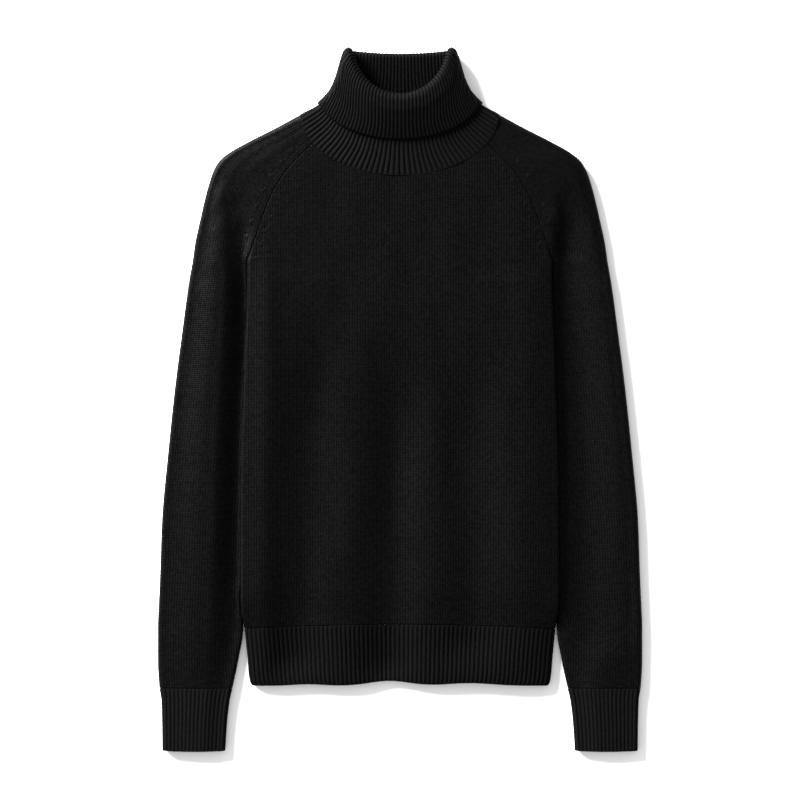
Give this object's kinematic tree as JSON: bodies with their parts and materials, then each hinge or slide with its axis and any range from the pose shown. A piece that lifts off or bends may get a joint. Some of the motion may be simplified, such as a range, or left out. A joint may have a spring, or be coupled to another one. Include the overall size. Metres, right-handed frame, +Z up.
{
  "type": "sweater",
  "caption": "Black fine-knit sweater laid flat, front up: raglan long sleeves, a turned-down ribbed roll collar, and ribbed hem and cuffs",
  "frame": {"origin": "on the surface the sweater lies on, at the middle of its outline on plan", "axes": "+X towards the wearer's left, +Y from the hem towards the collar, +Z up out of the front"},
  "size_m": [0.5566, 0.8086, 0.0279],
  "materials": {
    "plain_knit": "matte fine plain knit, black",
    "rib_knit": "matte fine rib knit, black"
  },
  "bodies": {
    "root": {"front_panel": "plain_knit", "back_panel": "plain_knit", "left_sleeve": "plain_knit", "right_sleeve": "plain_knit", "collar": "rib_knit", "front_hem_rib": "rib_knit", "back_hem_rib": "rib_knit", "left_cuff": "rib_knit", "right_cuff": "rib_knit"}
  },
  "joints": []
}
